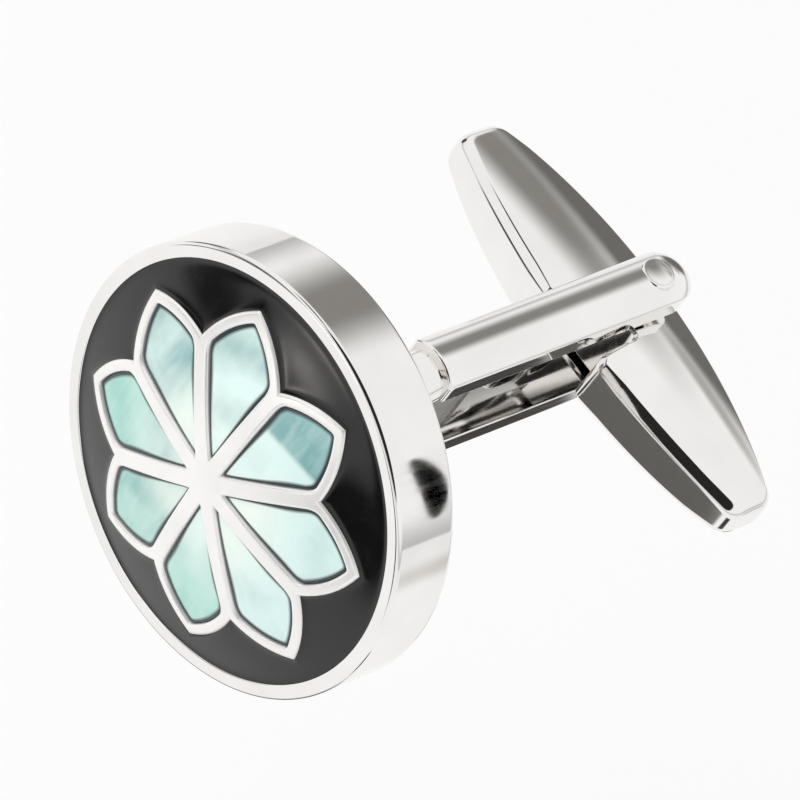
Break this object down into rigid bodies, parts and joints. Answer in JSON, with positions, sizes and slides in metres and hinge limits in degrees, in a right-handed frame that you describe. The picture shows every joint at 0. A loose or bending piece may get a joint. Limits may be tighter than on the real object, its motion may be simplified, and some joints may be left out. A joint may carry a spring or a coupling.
{
  "type": "cufflink",
  "caption": "Round cufflink with a domed enamel face holding a shell-inlaid flower, a forked half-round post and a boat-shaped toggle that swings in line to pass a buttonhole.",
  "frame": {"origin": "on the post's axis, in the plane of the back of the head's rim, where the cuff bears", "axes": "+Y along the post from the head to the toggle, so the face looks to -Y; X along the toggle when it lies across the post; Z along the hinge pin"},
  "size_m": [0.0182, 0.0232, 0.017],
  "materials": {
    "plated_metal": "polished bright white-metal plate over brass",
    "black_enamel": "polished black enamel",
    "shell_inlay": "polished pale aqua mother-of-pearl",
    "bare_steel": "bare spring steel"
  },
  "bodies": {
    "head_and_post": {"head_shell": "plated_metal", "enamel_ground": "black_enamel", "flower_fret": "plated_metal", "petal_inlay_1": "shell_inlay", "petal_inlay_2": "shell_inlay", "petal_inlay_3": "shell_inlay", "petal_inlay_4": "shell_inlay", "petal_inlay_5": "shell_inlay", "petal_inlay_6": "shell_inlay", "petal_inlay_7": "shell_inlay", "petal_inlay_8": "shell_inlay", "post_foot": "plated_metal", "crimp_collar": "plated_metal", "arm_upper": "plated_metal", "arm_lower": "plated_metal", "detent_block": "bare_steel", "detent_spring": "bare_steel", "spring_rivet": "bare_steel", "hinge_pin": "plated_metal"},
    "toggle": {"toggle_bar": "plated_metal"}
  },
  "joints": [
    {"name": "toggle_hinge", "type": "hinge", "parent": "head_and_post", "child": "toggle", "pos_m": [0, 0.0172, 0], "axis": [0, 0, 1], "range_deg": [0, 90]}
  ]
}
